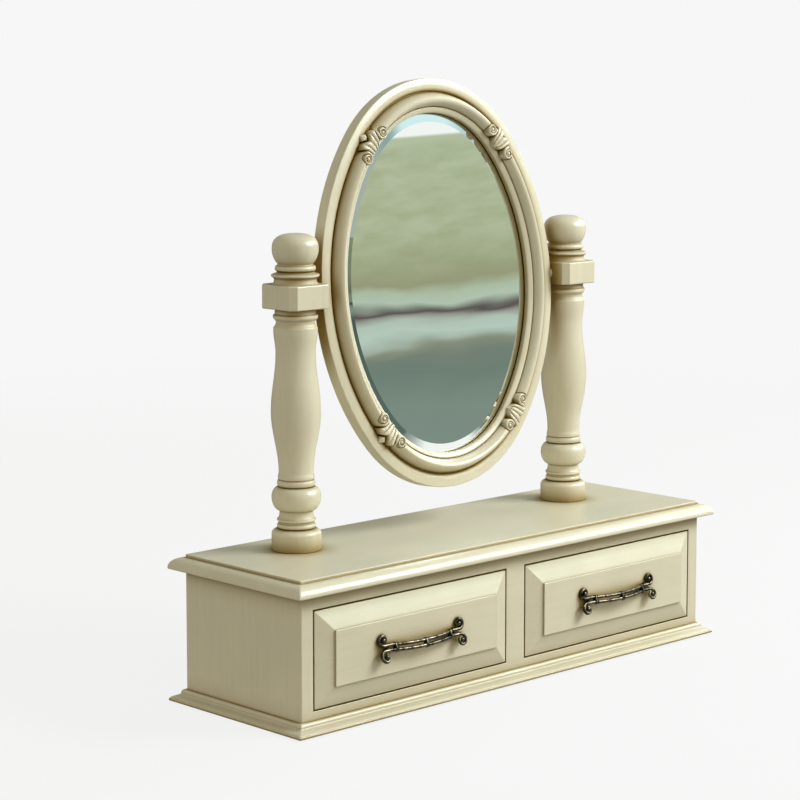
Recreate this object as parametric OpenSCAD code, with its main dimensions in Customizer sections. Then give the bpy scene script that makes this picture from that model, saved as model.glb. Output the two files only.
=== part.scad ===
// Table-top dressing mirror: an oval swing mirror between two turned posts, on a low
// case with two drawers. Millimetres. The origin is the middle of the footprint at the
// underside of the felt pads; +X runs right, +Y to the back, +Z up.

/* [Case] */
// Width of the case between the outer faces of its sides
case_w = 620; // [540:1:700]
// Depth of the case from the drawer line to the back edges of its sides
case_d = 182; // [176:1:220]
// Height of the case between the base board and the top board
case_h = 128.6; // [124:0.2:160]
// Thickness of the side boards
side_t = 16.2; // [14:0.2:20]
// How far the base and top boards stand out past the case, all round
overhang = 14; // [10:1:20]
// Thickness of the base board
base_t = 12.2; // [11:0.1:16]
// Thickness of the top board
top_t = 15.7; // [15:0.1:20]
// Thickness of the felt pads under the base
pad_t = 1.5; // [1:0.5:3]

/* [Drawers] */
// Height of the rail above the drawers
top_rail_h = 16; // [14:0.5:24]
// Height of the rail below the drawers
bottom_rail_h = 8.9; // [8:0.1:14]
// Width of the upright between the drawers
muntin_w = 28.4; // [24:0.2:40]
// Gap round each drawer front
front_gap = 1.4; // [1:0.1:2]
// Width of the sloping border on a drawer front
bevel_w = 21.4; // [16:0.2:28]
// How far the sloping border rises
bevel_rise = 7; // [4:0.5:9]
// Step between the border and the raised field
field_step = 2; // [1:0.5:3]
// Thickness of the drawer sides and back
drawer_wall = 10; // [8:1:12]

/* [Mirror] */
// Height of the pivots above the surface that the piece stands on
pivot_z = 426.5; // [420:0.5:470]
// Half the width of the mirror frame
oval_a = 177.4; // [150:0.2:177.4]
// Half the height of the mirror frame
oval_b = 225.4; // [200:0.2:225.4]
// Radius of the frame's top and bottom arcs
oval_end_r = 150.5; // [145:0.5:152]
// Thickness of the frame's outer rim
rim_t = 14.5; // [12:0.5:18]
// Width of the frame's moulding
band_w = 38; // [34:0.5:42]
// How far the mirror leans back at rest, in degrees
mirror_lean = 5; // [0:0.5:15]
// Thickness of the glass
glass_t = 4; // [3:0.5:5]

/* [Posts] */
// Distance of each post's axis from the middle
post_x = 208.8; // [208.8:0.2:230]
// Distance of the post axes behind the middle
post_y = 30; // [0:1:40]
// Width of the square block at the pivot
block_w = 55.4; // [50:0.2:55.4]
// Radius of the foot of a post
foot_r = 26.3; // [24:0.1:30]

/* [Handles] */
// Distance between the two fixing screws
handle_pitch = 96; // [90:1:100]
// Radius of the two rods of a handle
rod_r = 2.1; // [1.8:0.1:2.4]
// Lean of a handle's top edge towards the drawer, in degrees
handle_lean = 20; // [0:1:26]

/* [Hidden] */
$fn = 64;

paint = [0.80, 0.78, 0.67];
raw_wood = [0.78, 0.66, 0.48];
bronze = [0.24, 0.20, 0.16];
steel = [0.70, 0.70, 0.72];
brass = [0.74, 0.62, 0.36];

// Case heights and faces
base_z = pad_t;
case_z = base_z + base_t;
top_z = case_z + case_h;
top_face_z = top_z + top_t;
front_y = -case_d / 2;
back_y = case_d / 2;
inner_x = case_w / 2 - side_t;
corner_r = 1.5;

// Drawer openings
open_z = case_z + bottom_rail_h;
open_h = case_h - bottom_rail_h - top_rail_h;
open_w = inner_x - muntin_w / 2;
open_x = muntin_w / 2 + open_w / 2;
rail_d = 18;
partition_t = 16;
back_t = 6;
back_inset = 3;
back_face_y = back_y - back_inset - back_t;

// Drawer boxes, about the middle of one drawer
front_w = open_w - 2 * front_gap;
front_h = open_h - 2 * front_gap;
front_t = 14;
box_w = open_w - 3;
box_h = 92;
box_z = open_z + 0.4;
box_front_y = front_y + front_t;
stop_t = 8;
box_back_y = back_face_y - stop_t - 0.5;
box_d = box_back_y - box_front_y;
bottom_t = 4;
bottom_lift = 8;
groove_d = 4;
field_y = front_y - bevel_rise - field_step;
handle_z = open_z + open_h / 2;

// Screws and pads
screw_r = 2;
screw_head_r = 4;
screw_l = 36;
screw_x = case_w / 2 - side_t / 2;
panel_screw_r = 1.5;
pad_r = 10;

// Mirror frame: arcs of the oval, and its section by distance in from the rim
oval_side_r = (oval_a * oval_a + oval_b * oval_b - 2 * oval_b * oval_end_r)
    / (2 * (oval_a - oval_end_r));
side_centre = oval_side_r - oval_a;
end_centre = oval_b - oval_end_r;
arc_half = atan2(end_centre, side_centre);
rim_front = rim_t / 2;
rebate_in = 30;
rebate_gap = 0.5;
glass_drop = 6.2;
glass_bevel_w = 17;
glass_edge_t = 2.4;
glass_front = rim_front - glass_drop;
glass_back = glass_front - glass_t;
seat_z = rim_front + 1;
crest_h = 10;

// Pivots
pin_r = 3;
pin_fit = 0.05;
bush_r = 5;
bush_l = 16;
pin_in_frame = 14;
block_face = post_x - block_w / 2;
washer_t = block_face - oval_a - 0.5;

// Posts
block_h = 25.7;
block_cut = 4.6;
block_chamfer = 1;
block_z = pivot_z - block_h / 2;
bolt_r = 4;
bolt_depth = 45;
bolt_head_h = 5;
bolt_head_r = 7;
post_washer_r = 12;
post_washer_t = 1.6;

// Handles
rod_gap = 2.8;
bow_chord = 88;
bow_rise = 5.8;
bow_tilt = 12;
bow_r = (pow(bow_chord / 2, 2) + pow(bow_rise, 2)) / (2 * bow_rise);
collar_x = 39.3;
handle_off = 4.4;
boss_r = 3.4;
scroll_x = 10.5;
scroll_r = 6;
scroll_inner_r = 4.2;
eye_r = 2.9;
handle_screw_r = 2;

// ---------- curves shared by several parts ----------

// Points of a smooth step from one radius and height to another
function sweep(r0, z0, r1, z1, n = 10) =
    [for (i = [1:n]) let (t = i / n) [r0 + (r1 - r0) * (1 - cos(180 * t)) / 2, z0 + (z1 - z0) * t]];

// Points of a rounded bead between two heights, standing out to radius r_max
function bead(r0, z0, r1, z1, r_max, n = 14) =
    [for (i = [1:n]) let (a = 180 * i / n, base = r0 + (r1 - r0) * i / n)
        [base + (r_max - max(r0, r1)) * sin(a), (z0 + z1) / 2 - (z1 - z0) / 2 * cos(a)]];

// Points of a quarter ellipse from one corner to the other; turn = 1 leaves level
function quarter(x0, y0, x1, y1, turn, n = 8) =
    [for (i = [1:n]) let (a = 90 * i / n)
        turn == 1 ? [x0 + (x1 - x0) * sin(a), y0 + (y1 - y0) * (1 - cos(a))]
                  : [x0 + (x1 - x0) * (1 - cos(a)), y0 + (y1 - y0) * sin(a)]];

// A board whose four edges carry the same section, mitred at the corners.
// Each edge point is [distance out from the case's side, height].
module moulded_board(w, d, edge) {
    intersection() {
        rotate([90, 0, 0])
            linear_extrude(height = d + 4 * overhang, center = true)
                polygon(edge_outline(w, edge));
        rotate([90, 0, 90])
            linear_extrude(height = w + 4 * overhang, center = true)
                polygon(edge_outline(d, edge));
    }
}

// The edge points mirrored about the middle of a board of that width
function edge_outline(w, edge) = concat(
    [for (p = edge) [w / 2 + p[0], p[1]]],
    [for (i = [len(edge) - 1:-1:0]) [-w / 2 - edge[i][0], edge[i][1]]]);

// A round post, turned from a list of [radius, height] points
module turned(points) {
    rotate_extrude()
        polygon(concat([[0, points[0][1]]], points, [[0, points[len(points) - 1][1]]]));
}

// A screw with a flat countersunk head, its head at z = 0 and its point up
module countersunk_screw(r, head_r, l) {
    cylinder(h = l, r = r);
    cylinder(h = head_r - r, r1 = head_r, r2 = r);
}

// ---------- case ----------

base_edge = concat(
    [[overhang, 0]],
    [[overhang, 2]],
    quarter(overhang, 2, overhang - 1, 3, 0, 3),
    sweep(overhang - 1, 3, 2.6, base_t, 12));

top_edge = concat(
    [[overhang - 1.5, 0]],
    quarter(overhang - 1.5, 0, overhang, 1.6, 1, 4),
    quarter(overhang, 1.6, 0.2, top_t - 3.2, 0, 12),
    [[0, top_t - 3.2], [0, top_t]]);

module base_board() {
    color(paint)
        difference() {
            translate([0, 0, base_z])
                moulded_board(case_w, case_d, base_edge);
            at_base_screws()
                base_screw(pin_fit);
        }
}

module top_board() {
    color(paint)
        difference() {
            translate([0, 0, top_z])
                moulded_board(case_w, case_d, top_edge);
            at_posts()
                translate([0, 0, top_z - 1])
                    cylinder(h = top_t + 2, r = bolt_r + 0.3);
        }
}

module side(s) {
    color(paint)
        difference() {
            translate([s * (case_w / 2 - side_t / 2), 0, case_z])
                linear_extrude(height = case_h)
                    side_outline(s);
            at_base_screws()
                base_screw(pin_fit);
        }
}

// A side board seen from above, with its outer corners slightly rounded
module side_outline(s) {
    difference() {
        square([side_t, case_d], center = true);
        for (e = [-1, 1])
            translate([s * (side_t / 2 - corner_r), e * (case_d / 2 - corner_r)])
                difference() {
                    translate([s * corner_r, e * corner_r])
                        square(2 * corner_r, center = true);
                    circle(r = corner_r);
                }
    }
}

module back_panel() {
    color(raw_wood)
        difference() {
            translate([-inner_x, back_face_y, case_z])
                cube([2 * inner_x, back_t, case_h]);
            at_back_screws()
                back_screw(pin_fit);
        }
}

module rail(z, h) {
    color(paint)
        translate([-inner_x, front_y, z])
            cube([2 * inner_x, rail_d, h]);
}

module top_rail() { rail(top_z - top_rail_h, top_rail_h); }

module bottom_rail() { rail(case_z, bottom_rail_h); }

module muntin() {
    color(paint)
        translate([-muntin_w / 2, front_y, open_z])
            cube([muntin_w, rail_d, open_h]);
}

module centre_partition() {
    color(raw_wood)
        difference() {
            translate([-partition_t / 2, front_y + rail_d, case_z])
                cube([partition_t, back_face_y - front_y - rail_d, case_h]);
            at_back_screws()
                back_screw(pin_fit);
        }
}

// Strips that each drawer runs on, beside the sides and the partition
module drawer_runners() {
    color(raw_wood)
        difference() {
            strips(case_z, bottom_rail_h, 14);
            at_back_screws()
                back_screw(pin_fit);
        }
}

// Strips above the drawer sides, which stop an open drawer from tipping
module drawer_kickers() {
    color(raw_wood)
        strips(box_z + box_h + 1.5, top_z - box_z - box_h - 1.5, 14);
}

module strips(z, h, w) {
    for (s = [-1, 1], x = [partition_t / 2, inner_x - w])
        translate([s > 0 ? x : -x - w, front_y + rail_d, z])
            cube([w, back_face_y - front_y - rail_d, h]);
}

// Blocks on the back panel that each drawer's back stops against
module drawer_stops() {
    color(raw_wood)
        for (s = [-1, 1], x = [-90, 90])
            translate([s * open_x + x - 15, back_face_y - stop_t, open_z + 14])
                cube([30, stop_t, 30]);
}

module at_base_screws() {
    for (s = [-1, 1], y = [-60, 0, 60])
        translate([s * screw_x, y, base_z])
            children();
}

module base_screw(grow) {
    countersunk_screw(screw_r + grow, screw_head_r + grow, screw_l);
}

module base_screws() {
    color(steel)
        at_base_screws()
            base_screw(0);
}

// Screws through the back panel into the partition and the strips beside the sides
module at_back_screws() {
    for (x = [-inner_x + 7, 0, inner_x - 7])
        translate([x, back_face_y + back_t, case_z + bottom_rail_h / 2])
            rotate([90, 0, 0])
                children();
}

module back_screw(grow) {
    countersunk_screw(panel_screw_r + grow, 2 * panel_screw_r + grow, 20);
}

module back_panel_screws() {
    color(steel)
        at_back_screws()
            back_screw(0);
}

module felt_pads() {
    color([0.35, 0.33, 0.30])
        for (place = concat([[0, 0]], [for (x = [-1, 1], y = [-1, 1])
                [x * (case_w / 2 - 20), y * (case_d / 2 - 12)]]))
            translate(place)
                cylinder(h = pad_t, r = pad_r);
}

// ---------- posts ----------

module at_posts() {
    for (s = [-1, 1])
        translate([s * post_x, post_y, 0])
            children();
}

// Heights below are above the top board
post_lower = concat(
    [[foot_r - 0.6, 0], [foot_r, 0.6], [foot_r, 17.6]],
    quarter(foot_r, 17.6, 19.4, 22.8, 0),
    bead(18.6, 23.2, 18.8, 28.6, 20.6),
    sweep(18.8, 29.8, 20.5, 31.8, 4),
    [[20.5, 33.4]],
    quarter(20.5, 33.4, 17.9, 40.2, 1),
    [[17.9, 42.3]],
    quarter(17.9, 42.3, 26.2, 56.8, 1, 12),
    quarter(26.2, 56.8, 18.8, 67.4, 0, 12),
    bead(18.8, 67.8, 18.8, 74.6, 20.2),
    sweep(18.7, 75.2, 19.4, 76.2, 3),
    sweep(19.4, 77.8, 18.5, 82.7, 5),
    sweep(18.5, 82.7, 26.4, 146.9, 24),
    sweep(26.4, 146.9, 21.1, 209, 20),
    sweep(21.1, 209, 23.3, 233, 12),
    [[23.3, 235.2]],
    sweep(23.3, 235.2, 20.7, 240.8, 6),
    [[20.6, 242.3]],
    sweep(20.6, 242.3, 23.7, 246.9, 6),
    [[23.7, 247.8]],
    quarter(23.7, 247.8, 21.8, 249.8, 0, 4),
    [[21.8, 256]]);

// The top ball is squarer above its middle than below it
ball_r = 24.5;
ball_z = 318;

post_upper = concat(
    [[26.4, 280.6], [26.4, 281.2]],
    quarter(26.4, 281.2, 22.3, 285.6, 1, 6),
    sweep(22.6, 286.8, 25.3, 290.2, 5),
    [[25.3, 291]],
    sweep(25.3, 291, 19.2, 294.4, 6),
    bead(18.8, 294.6, 18.9, 301, 21.6),
    [for (a = [-40:5:0]) [ball_r * cos(a), ball_z + 24 * sin(a)]],
    [for (a = [5.5:5.5:88]) [ball_r * pow(cos(a), 0.77), ball_z + 16.4 * pow(sin(a), 0.77)]]);

module post(s) {
    color(paint)
        difference() {
            translate([s * post_x, post_y, 0]) {
                translate([0, 0, top_face_z])
                    turned(post_lower);
                post_block();
                translate([0, 0, top_face_z])
                    turned(post_upper);
            }
            translate([s * post_x, post_y, top_face_z - 1])
                cylinder(h = bolt_depth + 1, r = bolt_r + pin_fit);
            translate([s * block_face, post_y, pivot_z])
                rotate([0, s * 90, 0])
                    translate([0, 0, -1])
                        cylinder(h = bush_l + 1, r = bush_r);
        }
}

// The square block that carries the pivot: its upright corners are cut off, and its
// top and bottom edges are slightly sloped
module post_block() {
    intersection() {
        translate([0, 0, block_z])
            linear_extrude(height = block_h)
                intersection() {
                    square(block_w, center = true);
                    rotate(45)
                        square(block_w * sqrt(2) - 2 * block_cut, center = true);
                }
        translate([0, 0, pivot_z])
            rotate([90, 0, 0])
                linear_extrude(height = 2 * block_w, center = true)
                    block_side();
        translate([0, 0, pivot_z])
            rotate([90, 0, 90])
                linear_extrude(height = 2 * block_w, center = true)
                    block_side();
    }
}

// The block seen from one side, with its top and bottom corners taken off
module block_side() {
    half_w = block_w / 2;
    half_h = block_h / 2;
    polygon([[-half_w, -half_h + block_chamfer], [-half_w, half_h - block_chamfer],
        [-half_w + block_chamfer, half_h], [half_w - block_chamfer, half_h],
        [half_w, half_h - block_chamfer], [half_w, -half_h + block_chamfer],
        [half_w - block_chamfer, -half_h], [-half_w + block_chamfer, -half_h]]);
}

module post_bolts() {
    color(steel)
        at_posts() {
            translate([0, 0, top_z - post_washer_t - bolt_head_h])
                cylinder(h = bolt_head_h, r = bolt_head_r, $fn = 6);
            translate([0, 0, top_z - post_washer_t])
                cylinder(h = post_washer_t + top_t + bolt_depth - 4, r = bolt_r);
        }
}

module post_washers() {
    color(steel)
        at_posts()
            translate([0, 0, top_z - post_washer_t])
                difference() {
                    cylinder(h = post_washer_t, r = post_washer_r);
                    translate([0, 0, -1])
                        cylinder(h = post_washer_t + 2, r = bolt_r + 0.3);
                }
}

module pivot_bushes() {
    color(brass)
        for (s = [-1, 1])
            translate([s * block_face, post_y, pivot_z])
                rotate([0, s * 90, 0])
                    difference() {
                        cylinder(h = bush_l, r = bush_r);
                        translate([0, 0, -1])
                            cylinder(h = bush_l + 2, r = pin_r + pin_fit);
                    }
}

// ---------- mirror, drawn flat about its centre: x right, y up, z to the front ----------

module leaning() {
    translate([0, post_y, pivot_z])
        rotate([90 - mirror_lean, 0, 0])
            children();
}

// Sweeps section points [distance in from the rim, height] round the oval
module round_oval(section) {
    for (s = [0, 180])
        rotate(s) {
            translate([-side_centre, 0, 0])
                oval_arc(oval_side_r, -arc_half, 2 * arc_half, section);
            translate([0, end_centre, 0])
                oval_arc(oval_end_r, arc_half, 180 - 2 * arc_half, section);
        }
}

module oval_arc(r, start, turn, section) {
    rotate(start)
        rotate_extrude(angle = turn, $fn = 180)
            polygon([for (p = section) [p[0] < 0 ? 0 : r - p[0], p[1]]]);
}

// Points across the raised bead of the moulding
function bead_arc(in0, in1, h0, h1, crest, n = 9) =
    [for (i = [0:n]) let (a = 180 * i / n)
        [(in0 + in1) / 2 - (in1 - in0) / 2 * cos(a),
         h0 + (h1 - h0) * i / n + (crest - (h0 + h1) / 2) * pow(sin(a), 0.75)]];

frame_section = concat(
    [[0, -rim_front], [0, rim_front - 1.4]],
    quarter(0, rim_front - 1.4, 1.4, rim_front, 0, 2),
    [[6, rim_front + 1.1], [9, rim_front + 0.9]],
    quarter(9, rim_front + 0.9, 14.4, rim_front - 3, 1, 3),
    bead_arc(15.4, 31.2, rim_front - 3, rim_front + 1, rim_front + crest_h),
    [[31.7, rim_front + 1.3], [32.6, rim_front + 1.7], [35.4, rim_front + 0.7]],
    [[band_w, rim_front - 1.4], [band_w, glass_front], [rebate_in, glass_front], [rebate_in, -rim_front]]);

// Places round the oval, each as [centre x, centre y, radius, angle]
function oval_stations(n) = [for (turn = [0, 180]) each concat(
    [for (i = [0:n - 1]) [-cos(turn) * side_centre, 0, oval_side_r,
        turn - arc_half + 2 * arc_half * i / n]],
    [for (i = [0:n - 1]) [0, cos(turn) * end_centre, oval_end_r,
        turn + arc_half + (180 - 2 * arc_half) * i / n]])];

// A closed ring with that section all the way round the oval
module oval_ring(section, n) {
    stations = oval_stations(n);
    count = len(stations);
    size = len(section);
    polyhedron(
        points = [for (st = stations, p = section)
            [st[0] + (st[2] - p[0]) * cos(st[3]), st[1] + (st[2] - p[0]) * sin(st[3]), p[1]]],
        faces = [for (i = [0:count - 1], j = [0:size - 1])
            let (next = (i + 1) % count, up = (j + 1) % size)
                [i * size + j, i * size + up, next * size + up, next * size + j]]);
}

module mirror_frame() {
    color(paint)
        leaning()
            difference() {
                oval_ring(frame_section, 20);
                for (s = [-1, 1])
                    pin_bore(s);
                for (sx = [-1, 1], sy = [-1, 1])
                    at_ornament(sx, sy)
                        ornament_seat();
                at_clips()
                    clip_screw_shank(pin_fit);
            }
}

module pin_bore(s) {
    translate([s * (oval_a - pin_in_frame), 0, 0])
        rotate([0, s * 90, 0])
            cylinder(h = pin_in_frame + 1, r = pin_r + pin_fit);
}

module mirror_glass() {
    edge = rebate_in + rebate_gap;
    color([0.75, 0.85, 0.85])
        leaning()
            round_oval([[-1, glass_back], [edge, glass_back],
                [edge, glass_back + glass_edge_t], [edge + glass_bevel_w, glass_front],
                [-1, glass_front]]);
}

module backing_board() {
    edge = rebate_in + rebate_gap;
    color(raw_wood)
        leaning()
            round_oval([[-1, -rim_front], [edge, -rim_front], [edge, glass_back], [-1, glass_back]]);
}

// Small plates, screwed to the back of the frame, that hold the backing board in
clip_l = 24;
clip_w = 9;
clip_t = 1;
clip_screw_l = 6;
clip_angles = [20, 90, 160, 200, 270, 340];

// Places each clip square to the rim
module at_clips() {
    for (a = clip_angles)
        let (end = sin(a) > 0.5 ? 1 : sin(a) < -0.5 ? -1 : 0,
             cx = end == 0 ? (cos(a) > 0 ? -side_centre : side_centre) : 0,
             r = end == 0 ? oval_side_r : oval_end_r)
            translate([cx, end * end_centre, -rim_front])
                rotate(a)
                    translate([r - rebate_in, 0, 0])
                        mirror([0, 0, 1])
                            children();
}

module retaining_clips() {
    color(brass)
        leaning()
            at_clips()
                difference() {
                    translate([-clip_l / 2 - 2, -clip_w / 2, 0])
                        cube([clip_l, clip_w, clip_t]);
                    translate([5, 0, -1])
                        cylinder(h = clip_t + 2, r = 1.6);
                }
}

module clip_screw_shank(grow) {
    translate([5, 0, -clip_screw_l - grow])
        cylinder(h = clip_screw_l + clip_t + grow, r = 1.4 + grow);
}

module clip_screws() {
    color(steel)
        leaning()
            at_clips() {
                clip_screw_shank(0);
                translate([5, 0, clip_t])
                    cylinder(h = 1.2, r = 2.8);
            }
}

// The carved scrolls sit on flats cut across the bead, at the four diagonals
ornament_x = 96.3;
ornament_y = 152.8;
ornament_turn = -46;
seat_l = 54;
seat_in = 8;
seat_out = 12.6;
volute_r = 7.6;
volute_x = 18.6;

module at_ornament(sx, sy) {
    mirror([sx < 0 ? 1 : 0, 0, 0])
        mirror([0, sy < 0 ? 1 : 0, 0])
            translate([ornament_x, ornament_y, 0])
                rotate(ornament_turn)
                    children();
}

module ornament_seat() {
    translate([-seat_l / 2, -seat_in, seat_z])
        cube([seat_l, seat_in + seat_out, 20]);
}

module ornament(sx, sy) {
    color(paint)
        leaning()
            at_ornament(sx, sy)
                intersection() {
                    union() {
                        translate([-seat_l / 2, -seat_in, seat_z])
                            cube([seat_l, seat_in + seat_out, 5]);
                        for (x = [-volute_x, volute_x])
                            translate([x, 1.6, seat_z])
                                cylinder(h = crest_h, r = volute_r);
                        translate([-9, -seat_in, seat_z])
                            cube([18, seat_in + seat_out, crest_h - 2]);
                    }
                    ornament_seat();
                }
}

module pivot_pins() {
    color(steel)
        leaning()
            for (s = [-1, 1])
                translate([s * (oval_a - pin_in_frame), 0, 0])
                    rotate([0, s * 90, 0])
                        cylinder(h = pin_in_frame + block_face - oval_a + bush_l - 2, r = pin_r);
}

module pivot_washers() {
    color([0.9, 0.9, 0.88])
        leaning()
            for (s = [-1, 1])
                translate([s * oval_a, 0, 0])
                    rotate([0, s * 90, 0])
                        difference() {
                            cylinder(h = washer_t, r = 6.5);
                            translate([0, 0, -1])
                                cylinder(h = washer_t + 2, r = pin_r + pin_fit);
                        }
}

// ---------- drawers: s = -1 is the left drawer, s = 1 the right ----------

// Section of a drawer front from its edge inwards, as [distance from the middle, depth]
function front_outline(size) = [
    [-size / 2, 0], [-size / 2, front_t], [-size / 2 + bevel_w, front_t + bevel_rise],
    [size / 2 - bevel_w, front_t + bevel_rise], [size / 2, front_t], [size / 2, 0]];

module drawer_front(s) {
    color(paint)
        difference() {
            translate([s * open_x, box_front_y, handle_z])
                rotate([90, 0, 0]) {
                    intersection() {
                        rotate([90, 0, 0])
                            linear_extrude(height = 2 * front_h, center = true)
                                polygon(front_outline(front_w));
                        rotate([90, 0, 90])
                            linear_extrude(height = 2 * front_w, center = true)
                                polygon(front_outline(front_h));
                    }
                    translate([0, 0, front_t + bevel_rise])
                        linear_extrude(height = field_step)
                            square([front_w - 2 * bevel_w, front_h - 2 * bevel_w], center = true);
                }
            at_handle_screws(s)
                cylinder(h = 60, r = handle_screw_r + pin_fit);
            drawer_groove(s);
        }
}

// The slot for the drawer bottom, cut into the front, the sides and the back
module drawer_groove(s) {
    bottom_w = box_w - 2 * (drawer_wall - groove_d) + 0.4;
    translate([s * open_x - bottom_w / 2, box_front_y - groove_d - 0.2, box_z + bottom_lift])
        cube([bottom_w, box_d - drawer_wall + 2 * groove_d + 0.4, bottom_t]);
}

module drawer_side(s, e) {
    color(raw_wood)
        difference() {
            translate([s * open_x + (e > 0 ? box_w / 2 - drawer_wall : -box_w / 2), box_front_y, box_z])
                cube([drawer_wall, box_d, box_h]);
            drawer_groove(s);
        }
}

module drawer_back(s) {
    color(raw_wood)
        difference() {
            translate([s * open_x - box_w / 2 + drawer_wall, box_back_y - drawer_wall, box_z])
                cube([box_w - 2 * drawer_wall, drawer_wall, box_h]);
            drawer_groove(s);
        }
}

module drawer_bottom(s) {
    bottom_w = box_w - 2 * (drawer_wall - groove_d);
    color(raw_wood)
        translate([s * open_x - bottom_w / 2, box_front_y - groove_d, box_z + bottom_lift])
            cube([bottom_w, box_d - drawer_wall + 2 * groove_d, bottom_t]);
}

// ---------- handles ----------

// The middle of a handle on the raised field, drawn flat: x right, y up, z forward
module at_handle(s) {
    translate([s * open_x, field_y, handle_z])
        rotate([90, 0, 0])
            children();
}

module handle_leaning() {
    translate([0, 0, handle_off])
        rotate([-handle_lean, 0, 0])
            children();
}

// The middle of the circle that a rod's bow follows. The bow swells straight out from
// the drawer and a little down, although the scrolls at its ends lean.
module bowed(up) {
    translate([0, up * rod_gap, 0])
        rotate([handle_lean + bow_tilt, 0, 0])
            translate([0, 0, bow_rise - bow_r])
                children();
}

// One bowed rod with a scroll at each end; up = 1 curls up, -1 curls down
module handle_rod(up) {
    bow_half = asin(bow_chord / 2 / bow_r);
    bowed(up)
        rotate([90, 0, 0])
            rotate(90 - bow_half)
                rotate_extrude(angle = 2 * bow_half, $fn = 48)
                    translate([bow_r, 0])
                        circle(r = rod_r, $fn = 24);
    for (s = [0, 1])
        mirror([s, 0, 0])
            translate([bow_chord / 2, up * rod_gap, 0])
                mirror([0, up > 0 ? 0 : 1, 0]) {
                    sphere(r = rod_r + 0.3, $fn = 24);
                    scroll();
                }
}

// A scroll of two half turns, the second smaller, round a ball-shaped eye
module scroll() {
    rotate([0, 90, 0])
        cylinder(h = scroll_x, r = rod_r, $fn = 24);
    translate([scroll_x, 0, 0]) {
        half_turn(scroll_r, scroll_r, -90);
        half_turn(2 * scroll_r - scroll_inner_r, scroll_inner_r, 90);
        translate([0, scroll_r, 0])
            sphere(r = eye_r, $fn = 24);
    }
}

module half_turn(centre, r, start) {
    translate([0, centre, 0])
        rotate(start)
            rotate_extrude(angle = 180, $fn = 48)
                translate([r, 0])
                    circle(r = rod_r - 0.3, $fn = 24);
}

// A band that binds the two rods together
module collar(x) {
    for (up = [-1, 1])
        bowed(up)
            rotate([0, asin(x / bow_r), 0])
                translate([-1.6, 0, bow_r])
                    rotate([0, 90, 0])
                        cylinder(h = 3.2, r = rod_r + 0.9, $fn = 24);
}

module handle(s) {
    color(bronze)
        at_handle(s)
            difference() {
                union() {
                    handle_leaning() {
                        handle_rod(1);
                        handle_rod(-1);
                        for (x = [-collar_x, 0, collar_x])
                            collar(x);
                    }
                    for (x = [-handle_pitch / 2, handle_pitch / 2])
                        translate([x, 0, 0])
                            cylinder(h = handle_off + 1, r = boss_r);
                }
                translate([0, 0, -20])
                    cube([200, 60, 40], center = true);
            }
}

module at_handle_screws(s) {
    for (x = [-handle_pitch / 2, handle_pitch / 2])
        translate([s * open_x + x, box_front_y + 0.01, handle_z])
            rotate([90, 0, 0])
                children();
}

// Machine screws from inside the drawer, which end at the back of the handle's bosses
module handle_screws(s) {
    color(steel)
        at_handle_screws(s) {
            cylinder(h = front_t + bevel_rise + field_step, r = handle_screw_r);
            translate([0, 0, -2.4])
                cylinder(h = 2.4, r = 2 * handle_screw_r);
        }
}

base_board();
top_board();
side(-1);  // side_left
side(1);  // side_right
back_panel();
top_rail();
bottom_rail();
muntin();
centre_partition();
drawer_runners();
drawer_kickers();
drawer_stops();
base_screws();
back_panel_screws();
felt_pads();
post(-1);  // post_left
post(1);  // post_right
post_bolts();
post_washers();
pivot_bushes();
mirror_frame();
mirror_glass();
backing_board();
retaining_clips();
clip_screws();
ornament(-1, 1);  // ornament_top_left
ornament(1, 1);  // ornament_top_right
ornament(-1, -1);  // ornament_bottom_left
ornament(1, -1);  // ornament_bottom_right
pivot_pins();
pivot_washers();
drawer_front(-1);  // drawer_left_front
drawer_side(-1, 1);  // drawer_left_inner_side
drawer_side(-1, -1);  // drawer_left_outer_side
drawer_back(-1);  // drawer_left_back
drawer_bottom(-1);  // drawer_left_bottom
handle(-1);  // drawer_left_handle
handle_screws(-1);  // drawer_left_handle_screws
drawer_front(1);  // drawer_right_front
drawer_side(1, -1);  // drawer_right_inner_side
drawer_side(1, 1);  // drawer_right_outer_side
drawer_back(1);  // drawer_right_back
drawer_bottom(1);  // drawer_right_bottom
handle(1);  // drawer_right_handle
handle_screws(1);  // drawer_right_handle_screws
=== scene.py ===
import math

import bmesh
import bpy
import numpy as np
from mathutils import Matrix, Vector

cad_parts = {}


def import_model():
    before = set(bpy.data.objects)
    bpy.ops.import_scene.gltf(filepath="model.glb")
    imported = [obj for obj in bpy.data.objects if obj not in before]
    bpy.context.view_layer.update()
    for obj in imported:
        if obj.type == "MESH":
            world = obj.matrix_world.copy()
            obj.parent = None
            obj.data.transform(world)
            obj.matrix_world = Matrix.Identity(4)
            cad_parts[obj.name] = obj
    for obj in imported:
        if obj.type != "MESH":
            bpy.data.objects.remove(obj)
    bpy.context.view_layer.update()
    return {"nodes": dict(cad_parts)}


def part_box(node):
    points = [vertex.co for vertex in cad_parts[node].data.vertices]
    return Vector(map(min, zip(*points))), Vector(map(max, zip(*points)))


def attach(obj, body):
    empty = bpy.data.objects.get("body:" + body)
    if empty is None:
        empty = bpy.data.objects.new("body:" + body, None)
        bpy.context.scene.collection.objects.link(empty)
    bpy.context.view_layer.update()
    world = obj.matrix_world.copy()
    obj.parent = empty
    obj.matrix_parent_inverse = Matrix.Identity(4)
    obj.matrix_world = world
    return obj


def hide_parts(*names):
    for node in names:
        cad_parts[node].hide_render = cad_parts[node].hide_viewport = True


# Looks of a table-top dressing mirror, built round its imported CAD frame.
# Meshes are worked out in millimetres in the CAD's own frame and made in metres.

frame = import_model()
scene = bpy.context.scene

MM = 0.001


def corners(node):
    """Lowest and highest corner of a CAD node, in millimetres."""
    low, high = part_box(node)
    return np.array(low) / MM, np.array(high) / MM


# ---------- places taken from the frame ----------

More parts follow.
